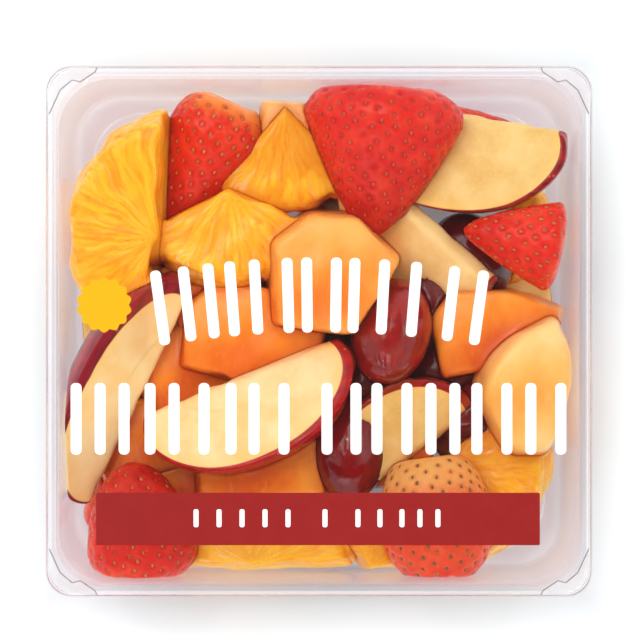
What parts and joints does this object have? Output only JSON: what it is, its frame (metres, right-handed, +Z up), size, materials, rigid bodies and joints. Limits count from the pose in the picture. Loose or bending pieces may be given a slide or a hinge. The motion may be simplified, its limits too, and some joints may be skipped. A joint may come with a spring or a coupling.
{
  "type": "fruit salad in a sealed tray",
  "caption": "Clear square plastic tray of cut strawberries, orange, melon, apple wedges and dark grapes, sealed with a clear film lid.",
  "frame": {"origin": "centre of the tray's footprint, on the surface it stands on", "axes": "+X across the tray to the picture's right, +Y to its far side, the picture's top, +Z up through the film"},
  "size_m": [0.14, 0.136, 0.0521],
  "materials": {
    "tray": "clear thermoformed plastic",
    "film": "clear heat-sealed film",
    "strawberry": "fresh strawberry, moist and pitted",
    "strawberry_seed": "strawberry seeds",
    "orange": "peeled orange pulp, wet",
    "melon": "orange melon flesh, moist",
    "apple": "apple flesh with red skin",
    "grape": "dark red grape skin, glossy",
    "mixed_fruit": "mixed cut fruit below the top layer",
    "print_white": "opaque white print on the film",
    "print_red": "opaque red print on the film",
    "print_yellow": "opaque yellow print on the film"
  },
  "bodies": {
    "root": {"tray": "tray", "film_lid": "film", "strawberry_large": "strawberry", "strawberry_left": "strawberry", "strawberry_right": "strawberry", "strawberry_near_left": "strawberry", "strawberry_near_right": "strawberry", "orange_left": "orange", "orange_middle": "orange", "orange_upper": "orange", "orange_near": "orange", "orange_near_middle": "orange", "orange_near_right": "orange", "melon_middle": "melon", "melon_left_inner": "melon", "melon_left": "melon", "melon_left_low": "melon", "melon_near": "melon", "melon_far": "melon", "melon_right": "melon", "melon_right_inner": "melon", "apple_left": "apple", "apple_middle": "apple", "apple_right": "apple", "apple_inner": "apple", "apple_near": "apple", "grape_middle": "grape", "grape_near": "grape", "grape_right": "grape", "grape_left": "grape", "grape_under_melon": "grape", "grape_inner": "grape", "grape_near_right": "grape", "fruit_below": "mixed_fruit"}
  },
  "joints": []
}
